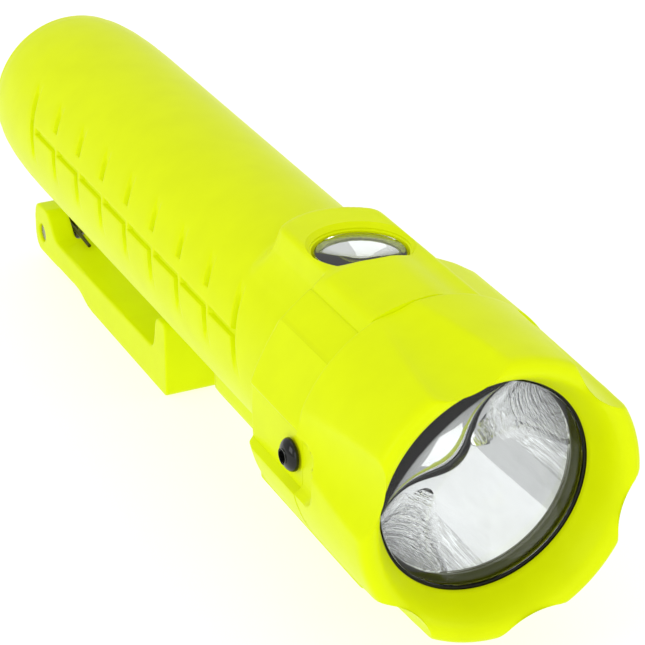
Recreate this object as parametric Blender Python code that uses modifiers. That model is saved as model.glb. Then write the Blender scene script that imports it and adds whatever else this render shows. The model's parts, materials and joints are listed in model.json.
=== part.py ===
"""Dual-light safety flashlight: polymer body with a spring clip, a locked bezel and a side flood light.

The flashlight lies along Y with its beam towards -Y, its flood window up and its clip underneath.
Everything is modelled in tube coordinates (local Z along the beam from the tail face, local Y up)
below one empty that lays the tube down.
"""
import math

import bmesh
import bpy

MM = 0.001
OBJECT = "dual_light_flashlight"

# Driving sizes in millimetres; stations run along the tube towards the lens, the tail face at -4.
BODY_R = 17.5
BORE_R = 15.75
TAIL_FACE = -4.0
TAIL_FILLET = 2.6
TAIL_WALL_END = 3.5
SWITCH_BORE_R = 15.1
COLLAR_REAR = 133.1
SEAM = 151.7
NECK_R = 19.6
NECK_BORE_R = 17.6
NECK_END = 163.0
HEAD_R = 23.0
CREST = 176.0
OPENING = 169.9
OPENING_R = 17.3
GAP = 0.3
AXIS_HEIGHT = 31.6
STEPS = 56

# Grip: slanted slots on each flank, cut by one flat run-out plane, and a crease between them.
GRIP_ANGLE = 72.5
GRIP_HALF = 20.5
GRIP_FLOOR = BODY_R * math.cos(math.radians(GRIP_HALF))
GRIP_SLOTS = 9
GRIP_START = 21.2
GRIP_PITCH = 11.9
GRIP_SLANT = math.radians(24)
SLOT_WIDTH = 1.5
SLOT_REACH = 6.2
BRIDGE_LOW = -1.9
CREASE_T = 1.2

# Flood window and the raised platform around it.
PLATFORM_Y = 21.35
PLATFORM_HALF = 8.8
PLATFORM_ARC = (124.2, 11.3)
WINDOW_S = 128.2
WINDOW_R = 7.6
WINDOW_LEDGE = 16.1
WINDOW_SEAT = 20.3

# Lock screw and its pocket on the left flank.
POCKET_HALF = 4.55
POCKET_END = 154.7
POCKET_FLOOR = 21.0
SCREW_S = 149.0
SCREW_HEAD_R = 2.65

# Clip lever: outline in (station, height) around the pin.
CLIP_HALF = 10.3
PIN_S = 4.1
PIN_Y = -26.1
PIN_R = 1.5
LUG_HALF = 2.5
FORK_HALF = 6.0
KEEL_HALF = 7.7
KEEL_START = 84.5
KEEL_Y = -23.4

# Inside: two pairs of AA cells in a carrier, and the light engines.
CELL_R = 7.1
CELL_X = 7.45
CELL_LENGTH = 50.5
CELL_STARTS = (16.9, 69.4)
CARRIER_R = 15.2
CARRIER_DISCS = (14.8, 67.8, 120.8)
DISC_THICK = 1.2
REFLECTOR_FOCUS = 3.2
REFLECTOR_HOLE = 3.8
REFLECTOR_MOUTH = 15.4
REFLECTOR_TOP = 164.3
REFLECTOR_VERTEX = REFLECTOR_TOP - REFLECTOR_MOUTH ** 2 / (4 * REFLECTOR_FOCUS)

YELLOW = (0.70, 0.86, 0.005)
BLACK = (0.01, 0.01, 0.01)


def clear_scene():
    for item in list(bpy.data.objects):
        bpy.data.objects.remove(item, do_unlink=True)


def make_collection(name):
    group = bpy.data.collections.new(name)
    bpy.context.scene.collection.children.link(group)
    return group


clear_scene()
PARTS = make_collection(OBJECT)
CUTTERS = make_collection(OBJECT + "_cutters")


def make_root():
    root = bpy.data.objects.new("tube_axis", None)
    root.rotation_euler = (math.radians(90), 0, 0)
    root.location = (0, 0.5 * (CREST + TAIL_FACE) * MM, AXIS_HEIGHT * MM)
    PARTS.objects.link(root)
    return root


ROOT = make_root()


def material(name, colour, roughness, metallic=0.0, alpha=1.0):
    look = bpy.data.materials.new(name)
    look.use_nodes = True
    shader = look.node_tree.nodes["Principled BSDF"]
    shader.inputs["Base Color"].default_value = (*colour, 1)
    shader.inputs["Roughness"].default_value = roughness
    shader.inputs["Metallic"].default_value = metallic
    shader.inputs["Alpha"].default_value = alpha
    return look


def add_object(name, mesh, origin=(0, 0, 0), group=None):
    """Link a mesh whose vertices are in tube millimetres, with its origin at the given point."""
    for vertex in mesh.vertices:
        vertex.co = [(c - o) * MM for c, o in zip(vertex.co, origin)]
    piece = bpy.data.objects.new(name, mesh)
    (group or PARTS).objects.link(piece)
    piece.parent = ROOT
    piece.location = [o * MM for o in origin]
    return piece


def finish(piece, look, angle=35):
    piece.data.materials.clear()
    piece.data.materials.append(look)
    piece.data.shade_smooth()
    piece.data.set_sharp_from_angle(angle=math.radians(angle))
    return piece


def hide_as_cutter(piece):
    piece.hide_render = True
    piece.display_type = "WIRE"
    return piece


def mesh_from(build):
    mesh = bpy.data.meshes.new("shape")
    work = bmesh.new()
    build(work)
    work.normal_update()
    bmesh.ops.recalc_face_normals(work, faces=work.faces)
    work.to_mesh(mesh)
    work.free()
    return mesh


def add_box(work, low, high):
    made = bmesh.ops.create_cube(work, size=1)["verts"]
    for vertex in made:
        vertex.co = [(a + b) / 2 + c * (b - a) for a, b, c in zip(low, high, vertex.co)]
    return made


def add_cylinder(work, radius, start, end, axis="Z", centre=(0, 0), steps=32, top=None):
    """A cylinder or cone along one tube axis; centre holds the other two coordinates in order."""
    made = bmesh.ops.create_cone(work, cap_ends=True, segments=steps, radius1=radius,
                                 radius2=radius if top is None else top, depth=end - start)["verts"]
    middle = (start + end) / 2
    for vertex in made:
        x, y, z = vertex.co
        if axis == "Z":
            vertex.co = (centre[0] + x, centre[1] + y, middle + z)
        elif axis == "Y":
            vertex.co = (centre[0] + x, middle + z, centre[1] - y)
        else:
            vertex.co = (middle + z, centre[0] + x, centre[1] + y)
    return made


def turned(name, outline, closed=False, steps=STEPS, group=None):
    """Spin an outline of (radius, station) points, given down the outer side, about the tube axis."""
    mesh = bpy.data.meshes.new(name)
    points = [(r * MM, 0, s * MM) for r, s in outline]
    edges = [(i, i + 1) for i in range(len(points) - 1)]
    if closed:
        edges.append((len(points) - 1, 0))
    mesh.from_pydata(points, edges, [])
    piece = bpy.data.objects.new(name, mesh)
    (group or PARTS).objects.link(piece)
    piece.parent = ROOT
    screw = piece.modifiers.new("spin", "SCREW")
    screw.steps = steps
    screw.render_steps = steps
    screw.use_merge_vertices = True
    screw.merge_threshold = 0.00001
    screw.use_normal_calculate = False
    return piece


def baked(piece):
    """Replace an object's modifiers by the mesh that they make."""
    shape = bpy.data.meshes.new_from_object(piece.evaluated_get(bpy.context.evaluated_depsgraph_get()))
    piece.modifiers.clear()
    piece.data = shape
    return piece


def turned_mesh(name, outline, closed=False, steps=STEPS, look=None, group=None):
    piece = turned(name, outline, closed, steps, group)
    bpy.context.view_layer.update()
    baked(piece)
    return finish(piece, look) if look else hide_as_cutter(piece)


def boolean(piece, other, operation="DIFFERENCE"):
    step = piece.modifiers.new(operation.lower(), "BOOLEAN")
    step.object = other
    step.operation = operation
    step.solver = "EXACT"


def cutter(name, build):
    return hide_as_cutter(add_object(name, mesh_from(build), group=CUTTERS))


def arc(centre, radius, start, end, count):
    """Points of an arc in an (a, b) plane, angles in degrees."""
    steps = [math.radians(start + (end - start) * i / count) for i in range(count + 1)]
    return [(centre[0] + radius * math.cos(t), centre[1] + radius * math.sin(t)) for t in steps]


def prism(work, outline, start, end, axis="Z"):
    """Extrude a closed outline: (x, y) along the tube, or (station, height) across it."""
    rings = []
    for level in (start, end):
        if axis == "Z":
            rings.append([work.verts.new((a, b, level)) for a, b in outline])
        else:
            rings.append([work.verts.new((level, b, a)) for a, b in outline])
    face = work.faces.new(rings[0])
    other = work.faces.new(list(reversed(rings[1])))
    count = len(outline)
    for i in range(count):
        work.faces.new((rings[0][(i + 1) % count], rings[0][i], rings[1][i], rings[1][(i + 1) % count]))
    return face, other


def rotated_box(work, angle, near, far, low_t, high_t, start, end, slant=0.0):
    """A box on a flank: near/far along the flank's normal, t around the tube, start/end stations.

    The angle goes round from straight up, positive towards the left flank.
    """
    made = add_box(work, (low_t, near, start), (high_t, far, end))
    turn = math.radians(angle)
    for vertex in made:
        t, n, s = vertex.co
        s += t * math.tan(slant)
        vertex.co = (-n * math.sin(turn) - t * math.cos(turn), n * math.cos(turn) - t * math.sin(turn), s)
    return made


def mirror_x(work):
    """Add the mirror image across the vertical plane as separate closed bodies."""
    copy = bmesh.ops.duplicate(work, geom=work.verts[:] + work.edges[:] + work.faces[:])
    verts = [g for g in copy["geom"] if isinstance(g, bmesh.types.BMVert)]
    faces = [g for g in copy["geom"] if isinstance(g, bmesh.types.BMFace)]
    for vertex in verts:
        vertex.co.x = -vertex.co.x
    bmesh.ops.reverse_faces(work, faces=faces)


# ---------------------------------------------------------------- body
def slot_station(index):
    return GRIP_START + index * GRIP_PITCH


def grip_slots(work):
    for index in range(GRIP_SLOTS):
        middle = slot_station(index)
        ends = [(-SLOT_REACH - 1, SLOT_REACH + 1)]
        if 0 < index < GRIP_SLOTS - 1:
            ends = [(-SLOT_REACH - 1, BRIDGE_LOW), (CREASE_T, SLOT_REACH + 1)]
        for low, high in ends:
            rotated_box(work, GRIP_ANGLE, GRIP_FLOOR, BODY_R + 1, low, high,
                        middle - SLOT_WIDTH / 2, middle + SLOT_WIDTH / 2, GRIP_SLANT)
    mirror_x(work)


def grip_crease(work):
    for index in range(GRIP_SLOTS - 1):
        rotated_box(work, GRIP_ANGLE, GRIP_FLOOR + 0.25, BODY_R + 1, CREASE_T - 0.6, CREASE_T + 0.35,
                    slot_station(index) + 2.6, slot_station(index + 1) + 0.9)
    mirror_x(work)


def platform_ring(height, side, rear):
    """Plan outline of the platform at one height, grown at its sides and its round rear end."""
    centre, radius = PLATFORM_ARC
    half = PLATFORM_HALF + side
    reach = radius + rear
    edge = math.degrees(math.asin(half / reach))
    back = [(reach * math.sin(math.radians(t)), height, centre - reach * math.cos(math.radians(t)))
            for t in (edge * (1 - i / 6) for i in range(13))]
    return back + [(-half, height, COLLAR_REAR + 1.5), (half, height, COLLAR_REAR + 1.5)]


def platform(work):
    levels = ((13.2, 2.6, 4.2), (17.3, 0.8, 1.5), (PLATFORM_Y - 0.5, 0.0, 0.2), (PLATFORM_Y, -0.5, -0.4))
    rings = [[work.verts.new(p) for p in platform_ring(*level)] for level in levels]
    count = len(rings[0])
    work.faces.new(rings[0])
    work.faces.new(rings[-1])
    for low, high in zip(rings, rings[1:]):
        for i in range(count):
            work.faces.new((low[i], low[(i + 1) % count], high[(i + 1) % count], high[i]))


# Flats of the collar, as (angle, from, to, distance from the axis): the bevel beside the top land, two
# from there down to the screw pocket, and one on the right of the land.
COLLAR_FLATS = ((62.9, -14.4, -11.5, 18.14), (39.5, -3.5, 2.95, 21.45), (61.5, -6.1, 6.1, 21.35),
                (-22.5, -7.4, 7.4, 21.9))


def collar_flat(angle, low_t, high_t, floor):
    return lambda work: rotated_box(work, angle, floor, HEAD_R + 2.5, low_t, high_t, COLLAR_REAR - 1, SEAM + 0.2)


def screw_pocket(work):
    outline = [(COLLAR_REAR - 3, -POCKET_HALF)] + arc((POCKET_END, 0), POCKET_HALF, -90, 90, 14)
    outline.append((COLLAR_REAR - 3, POCKET_HALF))
    prism(work, outline, -POCKET_FLOOR, -HEAD_R - 2, axis="X")


def window_recess(work):
    add_cylinder(work, WINDOW_R - 0.1, WINDOW_SEAT - 0.3, HEAD_R + 1.2, "Y", (0, WINDOW_S), 48, top=WINDOW_R + 1.2)


def window_well(work):
    add_cylinder(work, WINDOW_R + 0.1, WINDOW_LEDGE, WINDOW_SEAT + 0.2, "Y", (0, WINDOW_S), 48)


def window_throat(work):
    add_cylinder(work, WINDOW_R - 1.6, 14.0, WINDOW_LEDGE + 0.5, "Y", (0, WINDOW_S), 48)


def pivot_lug(work):
    eye = 3.6
    outline = arc((PIN_S, PIN_Y), eye, 180, 360, 10) + [(PIN_S + eye + 1.0, -13.5), (PIN_S - eye, -13.5)]
    prism(work, outline, -LUG_HALF, LUG_HALF, "X")


def make_body(look):
    taper = [(BODY_R, 75), (BODY_R, 18), (17.38, 11), (17.05, 5), (16.6, 1)]
    tail = arc((16.1 - TAIL_FILLET, TAIL_FACE + TAIL_FILLET), TAIL_FILLET, 0, -90, 5)
    outer = [(0, NECK_END), (NECK_R - 0.6, NECK_END), (NECK_R, NECK_END - 0.6), (NECK_R, 158.2),
             (NECK_R - 1.1, 158.2), (NECK_R - 1.1, 155.8), (NECK_R, 155.8), (NECK_R, COLLAR_REAR + 2),
             (BODY_R, COLLAR_REAR)] + taper + tail + [(0, TAIL_FACE)]
    body = turned_mesh("body_tube", outer, look=look)
    collar = [(HEAD_R, SEAM), (HEAD_R, COLLAR_REAR + 3.2), (HEAD_R - 0.5, COLLAR_REAR + 1.2),
              (HEAD_R - 1.5, COLLAR_REAR + 0.3), (HEAD_R - 2.4, COLLAR_REAR), (BODY_R - 1, COLLAR_REAR),
              (BODY_R - 1, SEAM)]
    ring = turned_mesh("collar_ring", collar, closed=True, group=CUTTERS)
    for number, flat in enumerate(COLLAR_FLATS):
        boolean(ring, cutter(f"collar_flat_{number}", collar_flat(*flat)))
    boolean(body, cutter("platform_block", platform), "UNION")
    boolean(body, cutter("window_recess", window_recess))
    boolean(body, ring, "UNION")
    keel = cutter("keel_block", lambda work: add_box(
        work, (-KEEL_HALF, KEEL_Y, KEEL_START), (KEEL_HALF, -13.5, COLLAR_REAR + 4)))
    edge = keel.modifiers.new("soften", "BEVEL")
    edge.width = 1.2 * MM
    edge.segments = 3
    boolean(body, keel, "UNION")
    boolean(body, cutter("pivot_lug", pivot_lug), "UNION")
    bore = [(0, NECK_END + 1), (NECK_BORE_R, NECK_END + 1), (NECK_BORE_R, 135.4), (BORE_R, 134.4),
            (BORE_R, 14.2), (SWITCH_BORE_R, 13.6), (SWITCH_BORE_R, TAIL_WALL_END), (8.0, TAIL_WALL_END),
            (8.0, TAIL_FACE - 1), (0, TAIL_FACE - 1)]
    boolean(body, turned_mesh("bore", bore, group=CUTTERS))
    for name, build in (("window_well", window_well), ("window_throat", window_throat),
                        ("grip_slots", grip_slots), ("grip_crease", grip_crease)):
        boolean(body, cutter(name, build))
    boolean(body, POCKET)
    boolean(body, cutter("screw_hole", lambda work: add_cylinder(
        work, 1.5 + GAP, -24, -16, "X", (0, SCREW_S), 20)))
    boolean(body, cutter("lug_hole", lambda work: add_cylinder(
        work, PIN_R + GAP, -LUG_HALF - 1, LUG_HALF + 1, "X", (PIN_Y, PIN_S), 24)))
    return body


# ---------------------------------------------------------------- head
def scallops(work):
    """Six shallow scoops round the rim that fade out towards the rear."""
    radius, reach, floor = 12.0, 24.0, 20.3
    for index in range(6):
        made = add_cylinder(work, radius, -reach, 6.0, "Z", (0, 0), 40)
        turn = math.radians(15 + 60 * index)
        lean = math.radians(5.2)
        for vertex in made:
            x, y, z = vertex.co
            y, z = y * math.cos(lean) - z * math.sin(lean), y * math.sin(lean) + z * math.cos(lean)
            y += floor + radius
            vertex.co = (-y * math.sin(turn) - x * math.cos(turn), y * math.cos(turn) - x * math.sin(turn),
                         z + CREST)


def make_bezel(look):
    bore = NECK_R + GAP
    outline = [(21.3, CREST), (22.3, CREST - 0.25), (22.85, CREST - 1.0), (23.0, CREST - 2.4), (23.05, 168.0),
               (HEAD_R, SEAM + GAP), (bore, SEAM + GAP), (bore, 164.0), (20.1, 164.2), (20.1, 169.3),
               (OPENING_R, 169.3), (OPENING_R, OPENING), (17.8, 171.0), (19.0, 173.6), (20.2, 175.5)]
    bezel = turned_mesh("bezel", outline, closed=True, steps=64, look=look)
    boolean(bezel, cutter("rim_scallops", scallops))
    boolean(bezel, POCKET)
    return bezel


def reflector_outline(focus, vertex, hole, mouth, wall, flange, count):
    """A parabolic bowl: inner curve from hole to mouth, a flange, and the outer skin back down."""
    def station(r):
        return vertex + r * r / (4 * focus)
    radii = [hole + (mouth - hole) * i / count for i in range(count + 1)]
    inner = [(r, station(r)) for r in radii]
    top = station(mouth)
    outer = [(r + wall, station(r) - wall * 0.6) for r in reversed(radii[:-1])]
    return [(flange, top), (flange, top - wall), (mouth + wall, top - wall)] + outer + inner


def make_head(looks):
    make_bezel(looks["shell"])
    turned_mesh("front_lens", [(0, 169.0), (19.2, 169.0), (19.7, 168.6), (19.7, 166.9), (19.2, 166.5), (0, 166.5)],
                look=looks["clear"], steps=40)
    turned_mesh("lens_gasket", [(19.7, 166.2), (19.7, 164.6), (15.7, 164.6), (15.7, 165.4), (16.3, 166.2)],
                closed=True, look=looks["rubber"], steps=40)
    bowl = reflector_outline(REFLECTOR_FOCUS, REFLECTOR_VERTEX, REFLECTOR_HOLE, REFLECTOR_MOUTH, 0.9, 19.6, 7)
    turned_mesh("reflector", bowl, closed=True, look=looks["mirror"], steps=40)
    post = REFLECTOR_VERTEX - 1.0
    turned_mesh("heat_sink", [(0, post), (4.2, post), (4.2, 143.9), (17.2, 143.9), (17.2, 139.6), (0, 139.6)],
                look=looks["alu"], steps=36)
    board = post + GAP
    turned_mesh("led_board", [(0, board + 0.8), (3.4, board + 0.8), (3.4, board), (0, board)], look=looks["white"],
                steps=20)
    die = board + 0.8 + GAP
    dome = [(0, die + 1.8)] + arc((0, die + 0.5), 1.3, 75, 0, 5)
    turned_mesh("led_emitter", dome + [(2.0, die + 0.5), (2.0, die), (0, die)], look=looks["led"], steps=20)
    ring = arc((19.2, 157.0), 0.65, 0, -360, 8)[:-1]
    turned_mesh("neck_o_ring", ring, closed=True, look=looks["rubber"], steps=36)


# ---------------------------------------------------------------- flood light
def flood_piece(name, outline, look, closed=False, steps=28):
    """A turned piece about the window's own axis, its outline in (radius, height)."""
    piece = turned(name, [(r, h) for r, h in outline], closed, steps)
    bpy.context.view_layer.update()
    baked(piece)
    for vertex in piece.data.vertices:
        x, y, z = vertex.co
        vertex.co = (x, z, WINDOW_S * MM - y)
    return finish(piece, look)


def make_flood(looks):
    flood_piece("flood_lens", [(0, 20.2), (6.9, 20.2), (7.3, 19.9), (7.3, 19.1), (0, 19.1)], looks["clear"])
    flood_piece("flood_gasket", [(7.3, 18.8), (7.3, 18.4), (6.3, 18.4), (6.3, 18.8)], looks["rubber"], True)
    flood_piece("flood_reflector", [(7.3, 18.1), (7.3, 17.7), (6.7, 17.6), (3.2, 17.2), (2.6, 17.2),
                                    (2.6, 17.4), (4.6, 17.6), (6.2, 18.1)], looks["mirror"], True)
    flood_piece("flood_board", [(0, 16.9), (7.2, 16.9), (7.2, 16.4), (0, 16.4)], looks["board"])
    flood_piece("flood_led", [(0, 17.9), (1.2, 17.8), (2.0, 17.4), (2.0, 17.2), (0, 17.2)], looks["led"], steps=24)


# ---------------------------------------------------------------- cells and electrics
def carrier_discs(work):
    for start in CARRIER_DISCS:
        add_cylinder(work, CARRIER_R, start, start + DISC_THICK, steps=32)


def carrier_spine(side):
    low, high = sorted((side * 7.4, side * 14.0))
    return lambda work: add_box(work, (-2.8, low, CARRIER_DISCS[0] + 0.4), (2.8, high, CARRIER_DISCS[-1] + 0.8))


def make_cell(name, x, start, flip, look):
    """An AA cell: a can with a rolled edge and a contact nub at one end."""
    can = CELL_LENGTH - 1.2
    outline = [(0, CELL_LENGTH), (2.6, CELL_LENGTH), (2.6, can), (6.3, can), (CELL_R, can - 0.8),
               (CELL_R, 0.6), (6.5, 0), (0, 0)]
    piece = turned_mesh(name, outline, look=look, steps=20)
    if flip:
        for vertex in piece.data.vertices:
            vertex.co = (vertex.co.x, -vertex.co.y, CELL_LENGTH * MM - vertex.co.z)
    piece.location = (x * MM, 0, start * MM)
    return piece


def tube(name, points, radius, look, resolution=2):
    """A wire along tube-millimetre points, as a closed mesh with welded caps."""
    curve = bpy.data.curves.new(name, "CURVE")
    curve.dimensions = "3D"
    curve.bevel_depth = radius * MM
    curve.bevel_resolution = resolution
    curve.use_fill_caps = True
    line = curve.splines.new("POLY")
    line.points.add(len(points) - 1)
    for slot, point in zip(line.points, points):
        slot.co = (*[c * MM for c in point], 1)
    holder = bpy.data.objects.new(name + "_curve", curve)
    CUTTERS.objects.link(holder)
    bpy.context.view_layer.update()
    mesh = bpy.data.meshes.new_from_object(holder.evaluated_get(bpy.context.evaluated_depsgraph_get()))
    bpy.data.objects.remove(holder, do_unlink=True)
    work = bmesh.new()
    work.from_mesh(mesh)
    bmesh.ops.remove_doubles(work, verts=work.verts, dist=0.00001)
    bmesh.ops.recalc_face_normals(work, faces=work.faces)
    work.to_mesh(mesh)
    work.free()
    piece = bpy.data.objects.new(name, mesh)
    PARTS.objects.link(piece)
    piece.parent = ROOT
    return finish(piece, look, 60)


def helix(radius, start, end, turns, per_turn, axis="Z", centre=(0, 0), turn_sign=1):
    count = int(turns * per_turn)
    points = []
    for i in range(count + 1):
        turn = turn_sign * 2 * math.pi * i / per_turn
        a, b = radius * math.cos(turn), radius * math.sin(turn)
        level = start + (end - start) * i / count
        points.append((centre[0] + a, centre[1] + b, level) if axis == "Z"
                      else (level, centre[0] + a, centre[1] + b))
    return points


def make_wires(look):
    """Two leads to the front light's heat sink and two to the flood light's board."""
    for side, name in ((-1, "left"), (1, "right")):
        tube("led_wire_" + name, [(side * 5.0, -2.0, s) for s in (125.6, 129.0, 134.0, 139.2)], 0.55, look)
        rise = ((9.0, 125.6), (9.6, 127.0), (11.6, 128.0), (14.0, 128.2), (16.05, 128.2))
        tube("flood_wire_" + name, [(side * 2.0, h, s) for h, s in rise], 0.55, look)


def make_power(looks):
    carrier = finish(add_object("battery_carrier", mesh_from(carrier_discs)), looks["carrier"])
    for side, name in ((1, "spine_top"), (-1, "spine_bottom")):
        boolean(carrier, cutter(name, carrier_spine(side)), "UNION")
    number = 0
    for start in CELL_STARTS:
        for side in (-1, 1):
            number += 1
            make_cell(f"cell_{number}", side * CELL_X, start, side > 0, looks["cell"])

    for name, start in (("contact_plate_rear", 16.3), ("contact_plate_front", 120.2)):
        plate = mesh_from(lambda work: add_box(work, (-11.5, -3.6, start), (11.5, 3.6, start + 0.3)))
        finish(add_object(name, plate), looks["nickel"])
    turned_mesh("circuit_board", [(0, 125.2), (15.3, 125.2), (15.3, 123.6), (0, 123.6)], look=looks["board"],
                steps=32)
    tube("tail_spring", helix(4.0, 10.9, 14.1, 2.5, 16), 0.45, looks["nickel"])
    make_wires(looks["wire"])


# ---------------------------------------------------------------- tail switch
def make_switch(looks):
    boot = turned("switch_boot", [(0, 5.0), (10.4, 5.0), (10.4, 3.8), (7.6, 3.8), (7.6, -2.4), (7.2, -3.0),
                                  (6.0, -3.25), (0, -3.4)], steps=32)
    bpy.context.view_layer.update()
    finish(baked(boot), looks["rubber"])
    turned_mesh("switch_module", [(0, 10.3), (9.0, 10.3), (9.0, 7.2), (2.4, 7.2), (2.4, 6.8), (0, 6.8)],
                look=looks["module"], steps=28)
    turned_mesh("switch_ring", [(14.8, 9.6), (14.8, 3.8), (10.9, 3.8), (10.9, 6.9), (9.4, 6.9), (9.4, 9.6)],
                closed=True, look=looks["module"], steps=36)


# ---------------------------------------------------------------- clip and lock screw
def clip_outline():
    rear = [(0.1, -23.0), (0.7, -21.2), (2.2, -20.3), (6.9, -20.2), (8.3, -20.9)]
    inside = [(11.4, -24.0), (14.0, -24.9), (62.6, -24.2), (63.9, -23.3), (65.0, -18.6), (66.2, -17.2), (69.2, -17.0)]
    front = [(69.9, -17.8), (69.9, -30.8), (69.1, -AXIS_HEIGHT)]
    below = [(31.0, -AXIS_HEIGHT), (28.6, -31.2), (25.0, -30.0), (22.0, -29.8), (3.4, -30.4), (1.1, -29.6),
             (0.1, -27.6)]
    return rear + inside + front + below


def make_clip(looks):
    lever = add_object("clip_lever", mesh_from(lambda work: prism(work, clip_outline(), -CLIP_HALF, CLIP_HALF, "X")),
                       origin=(0, PIN_Y, PIN_S))
    edge = lever.modifiers.new("round_edges", "BEVEL")
    edge.width = 0.9 * MM
    edge.segments = 3
    edge.limit_method = "ANGLE"
    edge.angle_limit = math.radians(60)
    finish(lever, looks["shell"])
    boolean(lever, cutter("fork_slot", lambda work: add_box(
        work, (-FORK_HALF, -40, -8), (FORK_HALF, -10, PIN_S + 8.4))))
    boolean(lever, cutter("tooth_hollow", lambda work: add_cylinder(work, BODY_R + 0.8, 60, 75, steps=64)))
    boolean(lever, cutter("lever_hole", lambda work: add_cylinder(
        work, PIN_R + GAP, -CLIP_HALF - 2, CLIP_HALF + 2, "X", (PIN_Y, PIN_S), 24)))
    finish(add_object("clip_pin", mesh_from(lambda work: add_cylinder(
        work, PIN_R, -CLIP_HALF + 0.5, CLIP_HALF - 0.5, "X", (PIN_Y, PIN_S), 24))), looks["steel"])
    make_clip_spring(looks["steel"])


def make_clip_spring(look):
    """A torsion spring round the pin: one leg along the lever, one up to the tube's underside."""
    radius, outer_x, inner_x = 2.3, -5.35, -3.1
    coil = helix(radius, outer_x, inner_x, 2 + 219 / 360, 12, "X", (PIN_Y, PIN_S), turn_sign=-1)
    lever_leg = [(outer_x, -24.1, 18.0), (outer_x, -23.8, 13.0), (outer_x, -23.8, 8.0)]
    last = coil[-1]
    tube_leg = [(inner_x, last[1] + 0.63 * reach, last[2] + 0.77 * reach) for reach in (4.0, 9.0, 14.6)]
    tube("clip_spring", lever_leg + coil + tube_leg, 0.36, look)


def make_lock_screw(look):
    dome = arc((0, 0), SCREW_HEAD_R, 0, 62, 5)
    outline = [(0, 1.75), (1.3, 1.75)] + [(r, 1.75 * h / (SCREW_HEAD_R * math.sin(math.radians(62))))
                                          for r, h in reversed(dome)] + [(1.5, 0), (1.5, -3.0), (0, -3.0)]
    screw = turned("lock_screw", outline, steps=24)
    bpy.context.view_layer.update()
    baked(screw)
    for vertex in screw.data.vertices:
        x, y, z = vertex.co
        vertex.co = (-z, y, x)
    screw.location = (-(POCKET_FLOOR + GAP) * MM, 0, SCREW_S * MM)
    finish(screw, look)
    boolean(screw, cutter("hex_socket", lambda work: add_cylinder(
        work, 1.15, -POCKET_FLOOR - 3, -POCKET_FLOOR - 1.0, "X", (0, SCREW_S), 6)))


LOOKS = {
    "shell": material("yellow_green_polymer", YELLOW, 0.42),
    "clear": material("clear_polycarbonate", (0.95, 0.97, 0.97), 0.03, alpha=0.3),
    "rubber": material("black_rubber", BLACK, 0.55),
    "mirror": material("polished_reflector", (0.9, 0.9, 0.9), 0.05, 1.0),
    "alu": material("aluminium", (0.6, 0.6, 0.62), 0.4, 1.0),
    "white": material("white_board", (0.8, 0.8, 0.78), 0.5),
    "led": material("led_phosphor", (0.85, 0.7, 0.15), 0.3),
    "board": material("green_board", (0.02, 0.2, 0.06), 0.5),
    "carrier": material("carrier_polymer", (0.05, 0.05, 0.05), 0.6),
    "cell": material("cell_can", (0.25, 0.25, 0.27), 0.35, 0.8),
    "nickel": material("nickel", (0.7, 0.68, 0.62), 0.3, 1.0),
    "wire": material("red_wire", (0.5, 0.02, 0.02), 0.5),
    "module": material("switch_polymer", (0.06, 0.06, 0.06), 0.5),
    "steel": material("spring_steel", (0.15, 0.15, 0.15), 0.35, 1.0),
    "screw": material("black_screw", BLACK, 0.15, 0.6),
}
POCKET = cutter("screw_pocket", screw_pocket)
make_body(LOOKS["shell"])
make_head(LOOKS)
make_flood(LOOKS)
make_power(LOOKS)
make_switch(LOOKS)
make_clip(LOOKS)
make_lock_screw(LOOKS["screw"])
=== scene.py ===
"""Looks of a dual-light safety flashlight, laid out as a Blender add-on and run as a script.

Lengths inside the shape functions are millimetres in tube terms: x across, up from the beam's axis, and
the station s along the tube, which grows from the tail towards the lens. place() turns them into metres
in the frame's own axes. Angles go round the tube from straight up, positive towards the left flank (-X).
"""

import json
import math

import bmesh
import bpy
import numpy as np
from bpy.props import FloatProperty, FloatVectorProperty, IntProperty, PointerProperty
from mathutils import Matrix, Vector


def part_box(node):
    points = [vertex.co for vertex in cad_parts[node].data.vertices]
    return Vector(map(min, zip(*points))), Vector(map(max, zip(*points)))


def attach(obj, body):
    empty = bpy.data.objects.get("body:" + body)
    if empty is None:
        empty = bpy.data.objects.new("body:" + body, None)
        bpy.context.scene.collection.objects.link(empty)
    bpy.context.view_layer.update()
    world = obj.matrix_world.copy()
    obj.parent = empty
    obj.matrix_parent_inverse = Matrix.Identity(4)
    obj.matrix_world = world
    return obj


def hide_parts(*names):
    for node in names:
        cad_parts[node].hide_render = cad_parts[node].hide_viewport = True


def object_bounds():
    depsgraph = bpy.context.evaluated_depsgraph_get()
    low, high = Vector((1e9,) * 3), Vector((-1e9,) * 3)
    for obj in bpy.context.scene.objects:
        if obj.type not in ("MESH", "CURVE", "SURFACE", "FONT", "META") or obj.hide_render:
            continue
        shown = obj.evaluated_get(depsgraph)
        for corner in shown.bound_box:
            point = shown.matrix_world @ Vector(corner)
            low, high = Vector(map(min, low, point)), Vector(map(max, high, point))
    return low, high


bl_info = {
    "name": "Dual-light flashlight looks",
    "version": (1, 0, 0),
    "blender": (4, 5, 0),
    "location": "3D View > Sidebar > Flashlight",
    "description": "Builds the moulded shells, lamps, clip and stage of a dual-light safety flashlight",
    "category": "Object",
}

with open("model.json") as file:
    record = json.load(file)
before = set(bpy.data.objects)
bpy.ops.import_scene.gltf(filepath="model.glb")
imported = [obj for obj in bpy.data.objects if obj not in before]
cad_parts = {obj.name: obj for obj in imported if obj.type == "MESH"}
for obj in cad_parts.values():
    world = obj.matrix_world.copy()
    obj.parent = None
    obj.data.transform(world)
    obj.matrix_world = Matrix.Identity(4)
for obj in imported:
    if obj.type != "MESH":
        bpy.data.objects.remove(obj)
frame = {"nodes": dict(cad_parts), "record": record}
CAD_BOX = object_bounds()
MM = 0.001

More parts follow.
